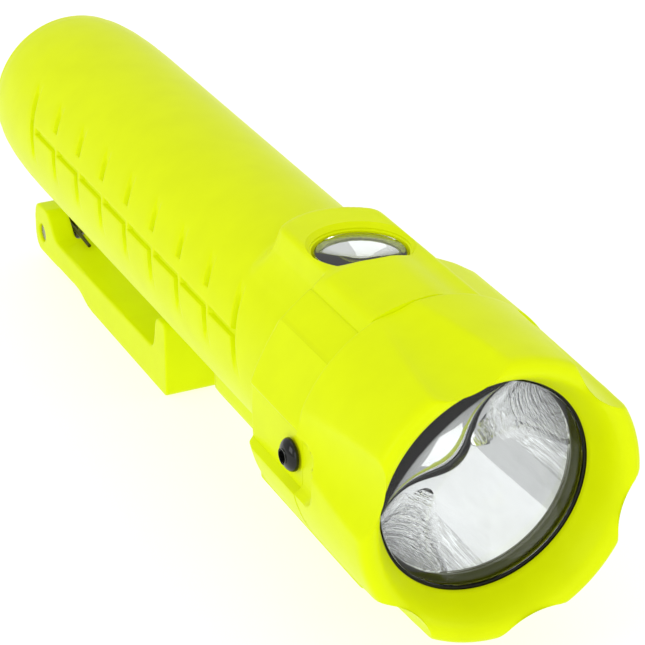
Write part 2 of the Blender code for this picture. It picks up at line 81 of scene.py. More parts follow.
# The tube's axis and ends, read from the frame.
TAIL_FACE = -4.0
BEZEL_LOW, BEZEL_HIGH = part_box("bezel")
LENS_LOW, LENS_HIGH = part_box("front_lens")
AXIS_Z = 0.5 * (LENS_LOW.z + LENS_HIGH.z)
ORIGIN_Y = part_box("body_tube")[1].y + TAIL_FACE * MM


def station(y):
    return (ORIGIN_Y - y) / MM


CREST = station(BEZEL_LOW.y)
BEZEL_REAR = station(BEZEL_HIGH.y)
HEAD_R = 0.5 * (BEZEL_HIGH.x - BEZEL_LOW.x) / MM
SEAM = BEZEL_REAR - 0.08
LENS_BACK, LENS_FRONT = station(LENS_HIGH.y), station(LENS_LOW.y)

# Body sections along the tube.
COLLAR_REAR = 133.1
NECK_R, NECK_END = 19.6, 163.0
GROOVE = (155.8, 158.2)
BORE_R, NECK_BORE_R, SWITCH_BORE_R, BOOT_HOLE_R = 15.75, 17.6, 15.1, 8.0
TAIL_FILLET = 2.6
TAPER = ((-1.4, 16.1), (1.0, 16.6), (5.0, 17.05), (11.0, 17.38), (18.0, 17.5), (60.0, 17.5))
GRIP_ANGLE, GRIP_HALF, GRIP_START, BRIDGE_LOW, CREASE_T = 72.5, 20.5, 21.2, -1.9, 1.2
SLOT_REACH = 7.2
PLATFORM_UP, PLATFORM_HALF, PLATFORM_CENTRE, PLATFORM_R = 21.35, 8.8, 124.2, 11.3
WINDOW_S = 128.2
POCKET_HALF, POCKET_END, POCKET_FLOOR = 4.55, 154.7, 21.0
SCREW_S = station(0.5 * (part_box("lock_screw")[0].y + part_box("lock_screw")[1].y))
KEEL_HALF, KEEL_START, KEEL_UP = 7.7, 84.5, -23.4
PIN_S, PIN_UP, PIN_R = 4.1, -26.1, 1.5
COLLAR_FLATS = ((62.9, -14.4, -11.5, 18.14), (39.5, -3.5, 2.95, 21.45), (61.5, -6.1, 6.1, 21.35),
                (-22.5, -7.4, 7.4, 21.9))


# --- settings
def length(name, text, default):
    return FloatProperty(name=name, description=text, default=default * MM, unit="LENGTH", subtype="DISTANCE")


def angle(name, text, degrees):
    return FloatProperty(name=name, description=text, default=math.radians(degrees), subtype="ANGLE")


def colour(name, text, default):
    return FloatVectorProperty(name=name, description=text, default=default, size=3, min=0, max=1,
                               subtype="COLOR")


class ShellSettings(bpy.types.PropertyGroup):
    colour: colour("Polymer colour", "High-visibility yellow-green of every moulded shell",
                   (0.61, 0.745, 0.0004))
    # Painted glow: the next two settings give an even emission over the shell that lifts and warms its shaded
    # sides
    painted_glow_colour: colour("Painted glow colour", "Even glow painted over the shell to lift its shade", (0.95, 0.80, 0.0))
    roughness: FloatProperty(name="Roughness", description="Roughness of the moulded skin", default=0.36,
                             min=0, max=1)
    painted_glow_strength: FloatProperty(name="Painted glow", description="Strength of the glow painted over the shell to lift its shade",
                        default=0.11, min=0)
    tube_radius: length("Tube radius", "Radius of the grip", 17.5)
    slots: IntProperty(name="Grip slots", description="Slots on each flank of the grip", default=9, min=2)
    slot_pitch: length("Slot pitch", "Distance between grip slots", 11.9)
    slot_width: length("Slot width", "Width of one grip slot", 1.5)
    slot_slant: angle("Slot slant", "Lean of the slots from square", 24)
    softness: length("Edge softness", "Blend over the moulded edges", 0.55)


class BezelSettings(bpy.types.PropertyGroup):
    scallops: IntProperty(name="Scallops", description="Anti-roll scoops round the rim", default=6, min=3)
    scallop_radius: length("Scallop radius", "Radius of one scoop", 12.0)
    scallop_floor: length("Scallop floor", "Distance from the axis to a scoop's floor at the crest", 20.3)
    scallop_lean: angle("Scallop lean", "Lean of a scoop away from the axis", 5.2)
    opening_radius: length("Opening radius", "Radius of the lens opening", 17.3)


class LampSettings(bpy.types.PropertyGroup):
    mirror: colour("Mirror colour", "Metallised reflector", (0.93, 0.93, 0.94))
    focus: length("Focal length", "Focal length of the main reflector", 3.2)
    lens_colour: colour("Lens colour", "Tint of the clear lenses", (0.97, 0.99, 0.98))
    phosphor: colour("Phosphor colour", "Yellow phosphor of the LEDs", (0.80, 0.66, 0.08))
    rubber: colour("Rubber colour", "Black of the gaskets and the boot", (0.005, 0.005, 0.005))


class ClipSettings(bpy.types.PropertyGroup):
    grain: length("Mesh grain", "Spacing of the clip's moulded surface", 0.3)
    wire_radius: length("Spring wire radius", "Radius of the torsion spring's wire", 0.36)
    steel: colour("Spring steel", "Black-oxide spring steel", (0.09, 0.085, 0.075))


class StageSettings(bpy.types.PropertyGroup):
    floor: colour("Floor colour", "Plain pale floor", (0.45, 0.45, 0.45))
    azimuth: angle("Azimuth", "Camera's angle round the object", -25.51)
    elevation: angle("Elevation", "Camera's angle above the floor", 26.23)
    lens: FloatProperty(name="Focal length", description="Camera's focal length in millimetres",
                        default=145.1)


def scene_settings(name):
    return getattr(bpy.context.scene, "flashlight_" + name)


# --- shape helpers
def place(x, up, s):
    return Vector((x * MM, ORIGIN_Y - s * MM, AXIS_Z + up * MM))


def smooth_min(a, b, blend):
    near = np.clip(blend - np.abs(a - b), 0, None) / blend
    return np.minimum(a, b) - near * near * blend / 4


def smooth_max(a, b, blend):
    return -smooth_min(-a, -b, blend)


def arc(centre, radius, start, end, count):
    turns = np.radians(np.linspace(start, end, count + 1))
    return [(centre[0] + radius * math.cos(t), centre[1] + radius * math.sin(t)) for t in turns]


def steps(*stops):
    """Increasing values from (start, spacing) pairs that end with one last (stop, 0)."""
    values = []
    for (start, gap), (stop, _) in zip(stops, stops[1:]):
        count = max(1, round((stop - start) / gap))
        values += [start + (stop - start) * i / count for i in range(count)]
    return np.array(values + [stops[-1][0]])


def new_object(name, mesh, look=None):
    piece = bpy.data.objects.new(name, mesh)
    bpy.context.scene.collection.objects.link(piece)
    if look:
        mesh.materials.clear()
        mesh.materials.append(look)
    return piece


def from_bmesh(name, work):
    bmesh.ops.remove_doubles(work, verts=work.verts, dist=1e-7)
    work.normal_update()
    bmesh.ops.recalc_face_normals(work, faces=work.faces)
    if work.calc_volume(signed=True) < 0:
        bmesh.ops.reverse_faces(work, faces=work.faces)
    mesh = bpy.data.meshes.new(name)
    work.to_mesh(mesh)
    work.free()
    return mesh


def solid(name, work):
    return new_object(name, from_bmesh(name, work))


def grid_mesh(name, radii, stations, angles):
    """A closed loop of rings, each a (radius, station) at every angle, joined by quads."""
    rows, count = radii.shape
    turn = np.radians(angles)
    x, up = -radii * np.sin(turn), radii * np.cos(turn)
    points = np.stack((x * MM, ORIGIN_Y - stations * MM, AXIS_Z + up * MM), axis=2).reshape(-1, 3)
    row = np.arange(rows)[:, None]
    col = np.arange(count)[None, :]
    here, after, side = row * count, (row + 1) % rows * count, (col + 1) % count
    quads = np.stack((here + col, here + side, after + side, after + col), axis=2)
    mesh = bpy.data.meshes.new(name)
    mesh.from_pydata(points.tolist(), [], quads.reshape(-1, 4).tolist())
    work = bmesh.new()
    work.from_mesh(mesh)
    bpy.data.meshes.remove(mesh)
    return from_bmesh(name, work)


def turned_bmesh(outline, count, axis="tube", centre=(0.0, 0.0)):
    """Spin an outline about the beam's axis, the window's (axis "up") or the lock screw's (axis "left").

    The outline is a closed loop of (radius, level); points on the axis close the ends.
    """
    work = bmesh.new()
    rings = []
    for radius, level in outline:
        ring = []
        for i in range(1 if radius < 1e-6 else count):
            a, b = radius * math.cos(2 * math.pi * i / count), radius * math.sin(2 * math.pi * i / count)
            if axis == "tube":
                spot = place(centre[0] + a, centre[1] + b, level)
            elif axis == "up":
                spot = place(centre[0] + a, level, centre[1] + b)
            else:
                spot = place(-level, centre[0] + a, centre[1] + b)
            ring.append(work.verts.new(spot))
        rings.append(ring)
    for low, high in zip(rings, rings[1:] + rings[:1]):
        for i in range(count):
            j = i + 1
            corners = list(dict.fromkeys((low[i % len(low)], low[j % len(low)], high[j % len(high)],
                                          high[i % len(high)])))
            if len(corners) > 2:
                work.faces.new(corners)
    return work


def turned(name, outline, count=96, axis="tube", centre=(0.0, 0.0), look=None, sharp=50):
    piece = new_object(name, from_bmesh(name, turned_bmesh(outline, count, axis, centre)), look)
    return smooth(piece, sharp)


def smooth(piece, angle=40):
    piece.data.shade_smooth()
    piece.data.set_sharp_from_angle(angle=math.radians(angle))
    return piece


def prism(outline, low, high):
    """Extrude a closed (station, height) outline across the tube."""
    work = bmesh.new()
    a, b = [[work.verts.new(place(x, up, s)) for s, up in outline] for x in (low, high)]
    work.faces.new(a)
    work.faces.new(b[::-1])
    for i in range(len(outline)):
        j = (i + 1) % len(outline)
        work.faces.new((a[j], a[i], b[i], b[j]))
    return work


def cut(piece, tools, operation="DIFFERENCE"):
    """Boolean the tools into the piece one after another, and throw the tools away."""
    for tool in tools:
        step = piece.modifiers.new("cut", "BOOLEAN")
        step.operation, step.solver, step.object = operation, "EXACT", tool
        bake(piece)
        bpy.data.objects.remove(tool, do_unlink=True)
    return piece


def evaluated_mesh(piece):
    """A plain mesh of an object as its modifiers leave it."""
    bpy.context.view_layer.update()
    return bpy.data.meshes.new_from_object(piece.evaluated_get(bpy.context.evaluated_depsgraph_get()))


def bake(piece):
    """Replace an object's mesh by the one its modifiers make."""
    old, shape = piece.data, evaluated_mesh(piece)
    piece.modifiers.clear()
    piece.data = shape
    if old.users == 0 and old.rna_type.identifier == "Mesh":
        bpy.data.meshes.remove(old)
    return piece


def stand_for(piece, node, look=None):
    """Put a finished piece in a CAD node's place, riding on that node's body."""
    record = frame["record"]
    if look:
        piece.data.materials.clear()
        piece.data.materials.append(look)
    body = next(b for b, nodes in record["behaviour"]["bodies"].items() if node in nodes)
    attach(piece, body)
    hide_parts(node)
    return piece


def dress(node, look):
    """Give a CAD node that keeps its shape its finish."""
    mesh = frame["nodes"][node].data
    mesh.materials.clear()
    mesh.materials.append(look)


# --- material helpers
def new_look(name, colour, roughness, metallic=0.0, **sockets):
    """A Principled material on Object coordinates, with constants set on its own sockets."""
    look = bpy.data.materials.new(name)
    look.use_nodes = True
    shader = look.node_tree.nodes["Principled BSDF"]
    shader.inputs["Base Color"].default_value = (*colour, 1)
    shader.inputs["Roughness"].default_value = roughness
    shader.inputs["Metallic"].default_value = metallic
    for socket, value in sockets.items():
        shader.inputs[socket.replace("_", " ")].default_value = value
    look.diffuse_color = (*colour, 1)
    return look, look.node_tree, shader


def add_node(tree, kind, **values):
    node = tree.nodes.new("ShaderNode" + kind)
    for key, value in values.items():
        setattr(node, key, value)
    return node


def maths(tree, operation, *inputs):
    """A Math node fed by numbers and by other nodes' outputs."""
    node = add_node(tree, "Math", operation=operation)
    for socket, value in zip(node.inputs, inputs):
        if isinstance(value, bpy.types.NodeSocket):
            tree.links.new(value, socket)
        else:
            socket.default_value = value
    return node.outputs["Value"]


def noise(tree, scale, detail=3.0, stretch=(1, 1, 1)):
    where = add_node(tree, "TexCoord")
    map_node = add_node(tree, "Mapping")
    map_node.inputs["Scale"].default_value = stretch
    texture = add_node(tree, "TexNoise")
    texture.inputs["Scale"].default_value = scale
    texture.inputs["Detail"].default_value = detail
    tree.links.new(where.outputs["Object"], map_node.inputs["Vector"])
    tree.links.new(map_node.outputs["Vector"], texture.inputs["Vector"])
    return texture


def spread(tree, source, low, high, socket, start=0.3, stop=0.7):
    """Map a texture's output to a range on a shader socket."""
    fit = add_node(tree, "MapRange")
    for name, value in (("From Min", start), ("From Max", stop), ("To Min", low), ("To Max", high)):
        fit.inputs[name].default_value = value
    tree.links.new(source, fit.inputs["Value"])
    tree.links.new(fit.outputs["Result"], socket)


def shades(tree, source, colours, socket):
    """Colour a texture's output through a ramp of (position, colour) stops."""
    ramp = add_node(tree, "ValToRGB").color_ramp
    while len(ramp.elements) < len(colours):
        ramp.elements.new(0.5)
    for stop, (position, value) in zip(ramp.elements, colours):
        stop.position, stop.color = position, (*value, 1)
    node = tree.nodes[-1]
    tree.links.new(source, node.inputs["Fac"])
    tree.links.new(node.outputs["Color"], socket)
    return node


def bump(tree, shader, source, strength, distance):
    node = add_node(tree, "Bump")
    node.inputs["Strength"].default_value = strength
    node.inputs["Distance"].default_value = distance
    tree.links.new(source, node.inputs["Height"])
    tree.links.new(node.outputs["Normal"], shader.inputs["Normal"])


def mottle(tree, shader, texture, dark, light):
    """Let a texture wander between two base colours."""
    shades(tree, texture.outputs["Fac"], ((0.3, dark), (0.7, light)), shader.inputs["Base Color"])


def tone(colour, factor):
    return tuple(min(1.0, c * factor) for c in colour)


def simple_look(name, colour, roughness, metallic=0.0, scale=900.0, vary=0.12, relief=0.00002,
                stretch=(1, 1, 1), **sockets):
    """A finish with slow colour variation, uneven roughness and a fine relief."""
    look, tree, shader = new_look(name, colour, roughness, metallic, **sockets)
    grain = noise(tree, scale, 4, stretch)
    mottle(tree, shader, grain, tone(colour, 1 - vary), tone(colour, 1 + vary))
    spread(tree, grain.outputs["Fac"], roughness * 0.85, min(1, roughness * 1.2), shader.inputs["Roughness"])
    bump(tree, shader, grain.outputs["Fac"], 0.4, relief)
    return look


# --- body
def across(x, up, angle):
    """Coordinates on a flank: t round the tube, growing away from the top, and n out along its normal."""
    turn = math.radians(abs(angle))
    out = -x if angle > 0 else x
    return out * math.cos(turn) - up * math.sin(turn), out * math.sin(turn) + up * math.cos(turn)


def body_depth(x, up, s, shell):
    """How far a point lies outside the moulded body (negative inside), in millimetres."""
    soft = shell.softness / MM
    r = np.hypot(x, up)
    sections = np.array(TAPER)
    tube = r - np.interp(s, sections[:, 0], sections[:, 1])

    rise = (13.2, 17.3, PLATFORM_UP - 0.5, PLATFORM_UP)
    side = np.abs(x) - PLATFORM_HALF - np.interp(up, rise, (2.6, 0.8, 0.0, -0.5))
    rear = np.hypot(x, np.minimum(s - PLATFORM_CENTRE, 0)) - PLATFORM_R
    rear = rear - np.interp(up, rise, (4.2, 1.5, 0.2, -0.4))
    plan = smooth_max(smooth_max(side, rear, 1.0), s - SEAM, 0.2)
    platform = smooth_max(plan, up - PLATFORM_UP, soft)
    solid = smooth_min(tube, platform, 1.6)

    keel = smooth_max(smooth_max(np.abs(x) - KEEL_HALF, KEEL_UP - up, 2.2), KEEL_START - s, 2.2)
    solid = smooth_min(solid, smooth_max(keel, up + 10, soft), 0.9)

    shoulder = COLLAR_REAR + np.array((0, 0.3, 1.2, 3.2))
    collar = r - np.interp(s, shoulder, (HEAD_R - 2.4, HEAD_R - 1.5, HEAD_R - 0.5, HEAD_R))
    collar = smooth_max(collar, COLLAR_REAR - s, soft)
    for angle, low, high, floor in COLLAR_FLATS:
        t, n = across(x, up, angle)
        collar = smooth_max(collar, -np.maximum(floor - n, np.maximum(low - t, t - high)), soft)
    solid = smooth_min(solid, collar, soft)
    return smooth_max(solid, -pocket_depth(x, up, s), soft)


def pocket_depth(x, up, s):
    """The lock screw's U-shaped pocket on the left flank: negative inside."""
    t = np.arctan2(up, -x) * POCKET_FLOOR
    side = np.hypot(t, np.maximum(s - POCKET_END, 0)) - POCKET_HALF
    return np.maximum(np.maximum(side, x + POCKET_FLOOR), COLLAR_REAR - 3 - s)


def grip_depth(x, up, s, shell):
    """The slots and the crease of both grip flanks: negative inside the air they take away."""
    tube_r, width, slant = shell.tube_radius / MM, shell.slot_width / MM, math.tan(shell.slot_slant)
    floor = tube_r * math.cos(math.radians(GRIP_HALF))
    air = np.full(np.shape(x), 9.0)
    for flank in (GRIP_ANGLE, -GRIP_ANGLE):
        t, n = across(x, up, flank)
        flat = floor - n
        for index in range(shell.slots):
            middle = GRIP_START + index * shell.slot_pitch / MM
            slot = np.maximum(np.abs(s - middle - t * slant) - width / 2, np.abs(t) - SLOT_REACH)
            if 0 < index < shell.slots - 1:
                slot = np.maximum(slot, np.minimum(t - BRIDGE_LOW, CREASE_T - t))
            air = np.minimum(air, np.maximum(slot, flat))
            if index < shell.slots - 1:
                after = middle + shell.slot_pitch / MM
                ends = np.maximum(middle + 2.6 - s, s - after - 0.9)
                crease = np.maximum(np.abs(t - CREASE_T + 0.1) - 0.5, ends)
                air = np.minimum(air, np.maximum(crease, flat + 0.25))
    return air


def solve_radius(inside, turn, stations, low=14.5, high=27.0):
    """The radius where each ray from the axis leaves the solid, by bisection."""
    near, far = np.full(stations.shape, low), np.full(stations.shape, high)
    for _ in range(22):
        mid = 0.5 * (near + far)
        within = inside(-mid * np.sin(turn), mid * np.cos(turn), stations) < 0
        near, far = np.where(within, mid, near), np.where(within, far, mid)
    return 0.5 * (near + far)


def body_columns():
    """Angles of the mesh columns: close together where slots, ledges and pocket edges run."""
    half = steps((0, 1.7), (16, 0.8), (33, 1.5), (47, 1.1), (64, 0.7), (81, 1.15), (99, 0.7), (105, 2.4),
                 (153, 0.9), (166, 2.0), (180, 0))
    return np.concatenate((half, 360 - half[-2:0:-1]))


def body_rows(shell):
    """Stations of the mesh rows before they lean with the slots."""
    pitch, width = shell.slot_pitch / MM, shell.slot_width / MM
    edge = 0.5 * width + np.array((-0.42, -0.2, 0.0, 0.2, 0.5))
    local = np.concatenate((-edge[::-1], edge, (1.7, 2.0, 2.3, 2.7, 4.0, 5.5, 7.0, 8.5)))
    grip = np.concatenate([GRIP_START + index * pitch + local for index in range(shell.slots)])
    last = GRIP_START + (shell.slots - 1) * pitch
    grip = grip[grip < last + 2.5]
    extra = steps((105.4, 0.5), (last - 1.6, 0))
    grip = np.unique(np.round(np.concatenate((grip, extra)), 2))
    grip = grip[np.concatenate(([True], np.diff(grip) > 0.12))]
    tail = steps((-1.4, 0.8), (1.8, 1.9), (18.0, 0))
    collar = steps((last + 3.0, 0.9), (132.3, 0.11), (133.7, 0.35), (137.2, 1.6), (151.3, 0.15),
                   (SEAM - 0.06, 0))
    return np.concatenate((tail, grip, collar))


def lean(u, columns, shell):
    """Slide the rows along the tube so that they run with the slanted slots on the flanks."""
    off = np.where(columns > 180, 360 - columns, columns) - GRIP_ANGLE
    tube_r = shell.tube_radius / MM
    reach = tube_r * np.sin(np.radians(np.clip(off, -26, 26)))
    fade = np.cos(np.radians(90 * np.clip((np.abs(off) - 26) / 34, 0, 1)))
    along = np.clip(np.minimum((u - 6) / 10, (131 - u) / 12), 0, 1)
    return u[:, None] + along[:, None] * (reach * fade * math.tan(shell.slot_slant))[None, :]


def lug():
    """The pivot lug under the tail, with its pin hole."""
    eye = 3.6
    outline = arc((PIN_S, PIN_UP), eye, 180, 360, 28) + [(PIN_S + eye + 1.0, -15.0), (PIN_S - eye, -15.0)]
    piece = solid("lug", prism(outline, -2.5, 2.5))
    edge = piece.modifiers.new("edge", "BEVEL")
    edge.width, edge.segments, edge.limit_method = 0.4 * MM, 4, "ANGLE"
    bake(piece)
    return cut(piece, [solid("hole", prism(arc((PIN_S, PIN_UP), PIN_R + 0.3, 0, 360, 40)[:-1], -4, 4))])


def make_body():
    shell = scene_settings("shell")
    columns = body_columns()
    u = body_rows(shell)
    outer_s = lean(u, columns, shell)
    turn = np.radians(columns)[None, :] * np.ones((len(u), 1))

    def inside(x, up, s):
        return smooth_max(body_depth(x, up, s, shell), -grip_depth(x, up, s, shell), 0.45)

    outer_r = solve_radius(inside, turn, outer_s)
    tail_r = TAPER[0][1]
    tail = [(BOOT_HOLE_R, TAIL_FACE + 0.3), (BOOT_HOLE_R + 0.3, TAIL_FACE), (11.0, TAIL_FACE)] + \
        arc((tail_r - TAIL_FILLET, TAIL_FACE + TAIL_FILLET), TAIL_FILLET, -90, -6, 9)
    neck = [(NECK_R, SEAM), (NECK_R, GROOVE[0]), (NECK_R - 1.1, GROOVE[0]), (NECK_R - 1.1, GROOVE[1]),
            (NECK_R, GROOVE[1]), (NECK_R, NECK_END - 0.6), (NECK_R - 0.6, NECK_END), (NECK_BORE_R, NECK_END),
            (NECK_BORE_R, 135.4), (BORE_R, 134.4), (BORE_R, 14.2), (SWITCH_BORE_R, 13.6),
            (SWITCH_BORE_R, 3.5), (BOOT_HOLE_R, 3.5)]
    seam_r = outer_r[-1:]

    def ring(points):
        r, s = np.array(points).T
        return r[:, None] * np.ones_like(columns), s[:, None] * np.ones_like(columns)

    parts = [ring(tail), (outer_r, outer_s), (seam_r - 0.2, np.full_like(seam_r, SEAM)), ring(neck)]
    radii, stations = (np.vstack(rows) for rows in zip(*parts))
    piece = new_object("body_shell", grid_mesh("body_shell", radii, stations, columns))
    well = [(0, 13), (5.9, 13), (5.9, 16.1), (7.55, 16.1), (7.55, 18.2), (7.7, 18.3), (7.7, 20.2),
            (7.95, 20.3), (7.95, 20.6), (8.15, 20.7), (8.4, 21.1), (8.9, 21.6), (8.9, 24), (0, 24)]
    screw_hole = [(0, 16), (1.8, 16), (1.8, 24), (0, 24)]
    tools = [solid("well", turned_bmesh(well, 96, "up", (0, WINDOW_S))),
             solid("hole", turned_bmesh(screw_hole, 40, "left", (0, SCREW_S)))]
    cut(cut(piece, [lug()], "UNION"), tools)
    smooth(piece, 38)
    stand_for(piece, "body_tube", polymer_look("moulded_polymer"))


# --- bezel
def make_bezel():
    shell, bezel = scene_settings("shell"), scene_settings("bezel")
    soft = shell.softness / MM
    columns = np.linspace(0, 360, 320, endpoint=False)
    edge_r = HEAD_R - 0.05
    rear = [(NECK_R + 0.3, BEZEL_REAR), (edge_r - 0.25, BEZEL_REAR)]
    side = [(edge_r - 0.25 * (1 - math.sin(t)), BEZEL_REAR + 0.25 * (1 - math.cos(t)))
            for t in (0.5, 1.0, 1.57)]
    side += [(edge_r + 0.05 * (s - BEZEL_REAR) / 16, s) for s in steps((152.8, 0.5), (160.2, 1.0), (169, 0))]
    crown = [(HEAD_R, 170.0), (HEAD_R, 171.0), (23.0, 172.2), (23.0, 173.4), (22.97, 174.3), (22.85, 175.0),
             (22.62, 175.5), (22.3, 175.8), (21.9, 175.97), (21.4, 176.0), (21.0, 175.93), (20.6, 175.7)]
    cone = [(20.2, 175.45), (19.7, 174.85), (19.0, 173.7), (18.3, 172.2), (17.8, 171.0), (17.5, 170.3),
            (bezel.opening_radius / MM, 169.9), (bezel.opening_radius / MM, 169.3)]
    bore = [(20.1, 169.3), (20.1, 164.2), (NECK_R + 0.3, 164.0)]
    outline = np.array(rear + side + crown + cone + bore)
    radii = outline[:, :1] * np.ones((1, len(columns)))
    stations = outline[:, 1:] * np.ones((1, len(columns)))
    turn = np.radians(columns)[None, :]
    scoop_r, floor = bezel.scallop_radius / MM, bezel.scallop_floor / MM
    for index in range(bezel.scallops):
        off = turn - math.radians(15 + 360 / bezel.scallops * index)
        centre = floor + scoop_r + (CREST - stations) * math.tan(bezel.scallop_lean)
        reach = scoop_r ** 2 - (centre * np.sin(off)) ** 2
        hit = centre * np.cos(off) - np.sqrt(np.clip(reach, 0, None))
        miss = (np.cos(off) < 0) | (reach <= 0)
        over = np.sqrt(np.clip(-reach, 0, None))
        limit = np.where(miss, np.where(np.cos(off) < 0, 60.0, centre * np.cos(off) + over), hit)
        radii = smooth_min(radii, limit, 0.35)
    outer = ((outline[:, 1] < 169) & (outline[:, 0] > 21))[:, None]
    off = turn - math.pi / 2
    depth = np.hypot(off * POCKET_FLOOR, np.maximum(stations - POCKET_END, 0)) - POCKET_HALF
    sunk = smooth_max(POCKET_FLOOR / np.maximum(np.cos(off), 0.5), HEAD_R + 0.5 + depth * 4, soft)
    radii = np.where(outer & (np.abs(off) < 0.5), smooth_min(radii, sunk, 0.3), radii)
    mesh = grid_mesh("bezel_shell", radii, stations, columns)
    piece = smooth(new_object("bezel_shell", mesh), 48)
    stand_for(piece, "bezel", polymer_look("moulded_bezel_polymer"))


# --- swept wires and springs
def wire_tree():
    """Geometry Nodes tree that sweeps a round wire along a curve and closes its ends."""
    if "flashlight_wire" in bpy.data.node_groups:
        return bpy.data.node_groups["flashlight_wire"]
    tree = bpy.data.node_groups.new("flashlight_wire", "GeometryNodeTree")
    for name, kind in (("Geometry", "Geometry"), ("Wire Radius", "Float"), ("Sides", "Int"),
                       ("Finish", "Material")):
        tree.interface.new_socket(name, in_out="INPUT", socket_type="NodeSocket" + kind)
    tree.interface.new_socket("Geometry", in_out="OUTPUT", socket_type="NodeSocketGeometry")
    nodes = {key: tree.nodes.new(kind) for key, kind in (
        ("in", "NodeGroupInput"), ("circle", "GeometryNodeCurvePrimitiveCircle"),
        ("sweep", "GeometryNodeCurveToMesh"), ("shade", "GeometryNodeSetShadeSmooth"),
        ("real", "GeometryNodeRealizeInstances"), ("look", "GeometryNodeSetMaterial"),
        ("out", "NodeGroupOutput"))}
    nodes["sweep"].inputs["Fill Caps"].default_value = True
    for source, give, target, take in (
            ("in", "Geometry", "sweep", "Curve"), ("in", "Wire Radius", "circle", "Radius"),
            ("in", "Sides", "circle", "Resolution"), ("circle", "Curve", "sweep", "Profile Curve"),
            ("sweep", "Mesh", "shade", "Geometry"), ("shade", "Geometry", "real", "Geometry"),
            ("real", "Geometry", "look", "Geometry"), ("in", "Finish", "look", "Material"),
            ("look", "Geometry", "out", "Geometry")):
        tree.links.new(nodes[source].outputs[give], nodes[target].inputs[take])
    return tree


def sweep(name, points, radius, look, sides=12):
    """A closed wire mesh along metre points."""
    curve = bpy.data.curves.new(name, "CURVE")
    curve.dimensions = "3D"
    line = curve.splines.new("POLY")
    line.points.add(len(points) - 1)
    for slot, point in zip(line.points, points):
        slot.co = (*point, 1)
    holder = new_object(name + "_path", curve)
    step = holder.modifiers.new("wire", "NODES")
    tree = wire_tree()
    step.node_group = tree
    values = {"Wire Radius": radius * MM, "Sides": sides, "Finish": look}
    for item in tree.interface.items_tree:
        if item.in_out == "INPUT" and item.name in values:
            step[item.identifier] = values[item.name]
    shape = evaluated_mesh(holder)
    bpy.data.objects.remove(holder, do_unlink=True)
    work = bmesh.new()
    work.from_mesh(shape)
    bpy.data.meshes.remove(shape)
    return smooth(new_object(name, from_bmesh(name, work), look), 60)


def coil(radius, start, end, turns, per_turn, spot, sign=1):
    count = int(turns * per_turn)
    return [spot(radius * math.cos(sign * 2 * math.pi * i / per_turn),
                 radius * math.sin(sign * 2 * math.pi * i / per_turn), start + (end - start) * i / count)
            for i in range(count + 1)]


def smooth_path(points, count):
    """A Catmull-Rom path through a few (x, up, station) points."""
    p = np.array(points, float)
    p = np.vstack((2 * p[0] - p[1], p, 2 * p[-1] - p[-2]))
    path = []
    for i in range(1, len(p) - 2):
        for t in np.linspace(0, 1, count, endpoint=False):
            a, b, c, d = p[i - 1:i + 3]
            path.append(0.5 * (2 * b + (c - a) * t + (2 * a - 5 * b + 4 * c - d) * t ** 2
                               + (3 * b - a - 3 * c + d) * t ** 3))
    path.append(p[-2])
    return [place(*q) for q in path]


def make_springs():
    clip = scene_settings("clip")
    steel = simple_look("black_oxide_steel", tuple(clip.steel), 0.33, 1.0, scale=2500, vary=0.25)
    low, high = (v.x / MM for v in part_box("clip_spring"))
    wire, radius = clip.wire_radius / MM, 2.3
    outer, inner = low + wire, high - wire
    turns = 2 + 219 / 360
    coils = coil(radius, outer, inner, turns, 36,
                 lambda a, b, level: place(level, PIN_UP + a, PIN_S + b), -1)
    leg = [place(outer, -24.1, 18.0), place(outer, -23.85, 14.0), place(outer, -23.8, 8.0)]
    end = math.radians(-(turns - 2) * 360)
    last = (PIN_UP + radius * math.cos(end), PIN_S + radius * math.sin(end))
    out = [place(inner, last[0] + 0.63 * reach, last[1] + 0.77 * reach) for reach in (3.0, 8.0, 14.4)]
    stand_for(sweep("clip_spring_wire", leg + coils + out, wire, steel, 16), "clip_spring")
    nickel = simple_look("nickel_plate", (0.72, 0.69, 0.62), 0.25, 1.0, scale=1800, vary=0.08)
    low, high = (station(v) for v in (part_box("tail_spring")[1].y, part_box("tail_spring")[0].y))
    wire = 0.45
    coils = coil(4.0, low + wire, high - wire, 2.5, 48, place)
    stand_for(sweep("tail_spring_wire", coils, wire, nickel), "tail_spring")
    for node in ("contact_plate_rear", "contact_plate_front"):
        dress(node, nickel)
    dress("clip_pin", simple_look("pin_steel", (0.30, 0.29, 0.27), 0.28, 1.0, scale=3000, vary=0.1,
                                  stretch=(0.1, 1, 1)))


def make_wires():
    red = simple_look("red_insulation", (0.48, 0.015, 0.012), 0.42, scale=1500, vary=0.08)
    black = simple_look("black_insulation", (0.02, 0.02, 0.02), 0.42, scale=1500, vary=0.2)
    lead_r, led_x, flood_x = 0.53, 5.0, 2.0
    rise = ((9.0, 125.6), (9.5, 127.1), (11.6, 128.0), (14.0, 128.2), (16.05, 128.2))
    for side, name, look in ((-1, "left", black), (1, "right", red)):
        to_led = smooth_path([(side * led_x, -2.0, s) for s in (125.6, 130.0, 134.0, 139.2)], 6)
        stand_for(sweep("led_lead_" + name, to_led, lead_r, look), "led_wire_" + name)
        to_flood = smooth_path([(side * flood_x, up, s) for up, s in rise], 8)
        stand_for(sweep("flood_lead_" + name, to_flood, lead_r, look), "flood_wire_" + name)


